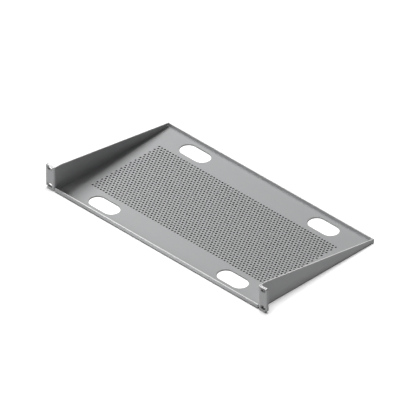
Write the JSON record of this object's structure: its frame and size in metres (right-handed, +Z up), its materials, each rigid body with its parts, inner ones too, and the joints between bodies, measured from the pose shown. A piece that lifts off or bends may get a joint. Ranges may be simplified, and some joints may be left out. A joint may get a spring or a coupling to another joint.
{
  "type": "cantilever rack shelf",
  "caption": "Perforated cantilever shelf for a 19 inch rack: a folded steel tray with tapered side walls, low lips, slotted ears and round-ended openings in its floor.",
  "frame": {"origin": "centre of the footprint, on the plane of the shelf's underside", "axes": "+X to the right seen from the front, +Y back into the rack, +Z up"},
  "size_m": [0.4826, 0.2518, 0.0444],
  "materials": {
    "coated_steel": "satin"
  },
  "bodies": {
    "root": {"shelf": "coated_steel"}
  },
  "joints": []
}
